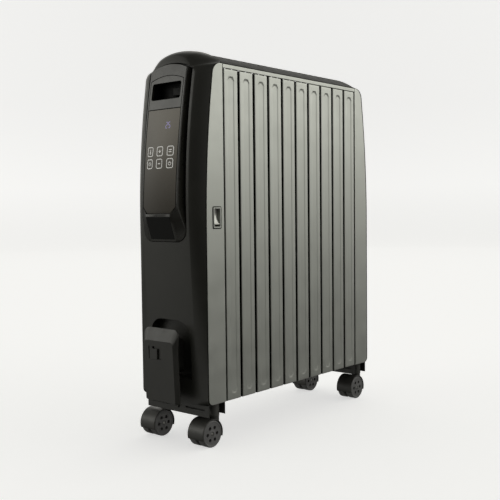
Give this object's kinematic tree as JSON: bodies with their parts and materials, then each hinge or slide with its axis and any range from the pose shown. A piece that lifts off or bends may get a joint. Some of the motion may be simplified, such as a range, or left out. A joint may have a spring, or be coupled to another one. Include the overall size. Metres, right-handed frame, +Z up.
{
  "type": "oil filled radiator heater",
  "caption": "Portable oil filled radiator heater with closed-sided fins, touch control pod, cord store, rocker switch and swivelling twin-wheel casters.",
  "frame": {"origin": "centre of the overall box's footprint, on the floor under the wheels", "axes": "+Z up, the control end faces -Y, the fins follow one another along Y, X is across the heater; the rocker switch is on the +X side"},
  "size_m": [0.1562, 0.531, 0.6566],
  "materials": {
    "fin_paint": "satin grey powder coat",
    "panel_paint": "satin light grey powder coat",
    "cover_plastic": "fine textured dark grey",
    "pod_plastic": "smooth satin dark grey",
    "bezel_plastic": "semi-gloss dark grey",
    "cup_plastic": "matt black",
    "lens_gloss": "gloss, printed from behind",
    "board_resin": "green laminate",
    "module_plastic": "matt",
    "store_plastic": "fine textured dark grey",
    "element_metal": "drawn copper sheath",
    "zinc_steel": "zinc plated",
    "rocker_plastic": "smooth light grey",
    "bracket_paint": "satin grey paint",
    "caster_plastic": "moulded grey nylon",
    "wheel_plastic": "moulded grey nylon"
  },
  "bodies": {
    "radiator": {"fin_01": "fin_paint", "fin_02": "fin_paint", "fin_03": "fin_paint", "fin_04": "fin_paint", "fin_05": "fin_paint", "fin_06": "fin_paint", "fin_07": "fin_paint", "fin_08": "fin_paint", "fin_09": "fin_paint", "fin_10": "fin_paint", "front_end_panel": "panel_paint", "rear_end_panel": "panel_paint", "side_rail_left": "panel_paint", "side_rail_right": "panel_paint", "top_cover": "cover_plastic", "front_housing": "cover_plastic", "rear_cover": "cover_plastic", "control_pod": "pod_plastic", "handle_bezel": "bezel_plastic", "handle_cup": "cup_plastic", "display_lens": "lens_gloss", "control_board": "board_resin", "display_module": "module_plastic", "cord_cover": "store_plastic", "cord_gland": "store_plastic", "heating_element": "element_metal", "element_flange": "zinc_steel", "header_plug_lower_rear": "zinc_steel", "header_plug_upper_rear": "zinc_steel", "header_plug_upper_front": "zinc_steel", "thermal_cutout": "module_plastic", "terminal_block": "rocker_plastic", "tip_over_switch": "module_plastic", "rocker_frame": "rocker_plastic", "caster_bracket_front": "bracket_paint", "bracket_bolt_front_left": "zinc_steel", "bracket_bolt_front_right": "zinc_steel", "bracket_screw_front": "zinc_steel", "caster_bracket_rear": "bracket_paint", "bracket_bolt_rear_left": "zinc_steel", "bracket_bolt_rear_right": "zinc_steel", "bracket_screw_rear": "zinc_steel"},
    "caster_front_left": {"caster_front_left_body": "caster_plastic", "caster_front_left_axle": "zinc_steel"},
    "caster_front_left_wheel_left": {"caster_front_left_wheel_left": "wheel_plastic"},
    "caster_front_left_wheel_right": {"caster_front_left_wheel_right": "wheel_plastic"},
    "caster_front_right": {"caster_front_right_body": "caster_plastic", "caster_front_right_axle": "zinc_steel"},
    "caster_front_right_wheel_left": {"caster_front_right_wheel_left": "wheel_plastic"},
    "caster_front_right_wheel_right": {"caster_front_right_wheel_right": "wheel_plastic"},
    "caster_rear_left": {"caster_rear_left_body": "caster_plastic", "caster_rear_left_axle": "zinc_steel"},
    "caster_rear_left_wheel_left": {"caster_rear_left_wheel_left": "wheel_plastic"},
    "caster_rear_left_wheel_right": {"caster_rear_left_wheel_right": "wheel_plastic"},
    "caster_rear_right": {"caster_rear_right_body": "caster_plastic", "caster_rear_right_axle": "zinc_steel"},
    "caster_rear_right_wheel_left": {"caster_rear_right_wheel_left": "wheel_plastic"},
    "caster_rear_right_wheel_right": {"caster_rear_right_wheel_right": "wheel_plastic"},
    "rocker": {"rocker": "rocker_plastic"},
    "tip_over_pendulum": {"tip_over_pendulum": "zinc_steel"}
  },
  "joints": [
    {"name": "caster_front_left_swivel", "type": "hinge", "parent": "radiator", "child": "caster_front_left", "pos_m": [-0.0571, -0.1945, 0.06], "axis": [0, 0, 1], "continuous": true},
    {"name": "caster_front_left_wheel_left_spin", "type": "hinge", "parent": "caster_front_left", "child": "caster_front_left_wheel_left", "pos_m": [-0.0571, -0.216, 0.02231], "axis": [1, 0, 0], "continuous": true},
    {"name": "caster_front_left_wheel_right_spin", "type": "hinge", "parent": "caster_front_left", "child": "caster_front_left_wheel_right", "pos_m": [-0.0571, -0.216, 0.02231], "axis": [1, 0, 0], "continuous": true},
    {"name": "caster_front_right_swivel", "type": "hinge", "parent": "radiator", "child": "caster_front_right", "pos_m": [0.0571, -0.1945, 0.06], "axis": [0, 0, 1], "continuous": true},
    {"name": "caster_front_right_wheel_left_spin", "type": "hinge", "parent": "caster_front_right", "child": "caster_front_right_wheel_left", "pos_m": [0.0571, -0.216, 0.02231], "axis": [1, 0, 0], "continuous": true},
    {"name": "caster_front_right_wheel_right_spin", "type": "hinge", "parent": "caster_front_right", "child": "caster_front_right_wheel_right", "pos_m": [0.0571, -0.216, 0.02231], "axis": [1, 0, 0], "continuous": true},
    {"name": "caster_rear_left_swivel", "type": "hinge", "parent": "radiator", "child": "caster_rear_left", "pos_m": [-0.0571, 0.2418, 0.06], "axis": [0, 0, 1], "continuous": true},
    {"name": "caster_rear_left_wheel_left_spin", "type": "hinge", "parent": "caster_rear_left", "child": "caster_rear_left_wheel_left", "pos_m": [-0.0571, 0.2203, 0.02231], "axis": [1, 0, 0], "continuous": true},
    {"name": "caster_rear_left_wheel_right_spin", "type": "hinge", "parent": "caster_rear_left", "child": "caster_rear_left_wheel_right", "pos_m": [-0.0571, 0.2203, 0.02231], "axis": [1, 0, 0], "continuous": true},
    {"name": "caster_rear_right_swivel", "type": "hinge", "parent": "radiator", "child": "caster_rear_right", "pos_m": [0.0571, 0.2418, 0.06], "axis": [0, 0, 1], "continuous": true},
    {"name": "caster_rear_right_wheel_left_spin", "type": "hinge", "parent": "caster_rear_right", "child": "caster_rear_right_wheel_left", "pos_m": [0.0571, 0.2203, 0.02231], "axis": [1, 0, 0], "continuous": true},
    {"name": "caster_rear_right_wheel_right_spin", "type": "hinge", "parent": "caster_rear_right", "child": "caster_rear_right_wheel_right", "pos_m": [0.0571, 0.2203, 0.02231], "axis": [1, 0, 0], "continuous": true},
    {"name": "rocker_tilt", "type": "hinge", "parent": "radiator", "child": "rocker", "pos_m": [0.0682, -0.2029, 0.3774], "axis": [0, 1, 0], "range_deg": [0, 18]},
    {"name": "tip_over_swing", "type": "hinge", "parent": "radiator", "child": "tip_over_pendulum", "pos_m": [-0.05, -0.197, 0.16], "axis": [0, 1, 0], "range_deg": [-20, 20]}
  ]
}
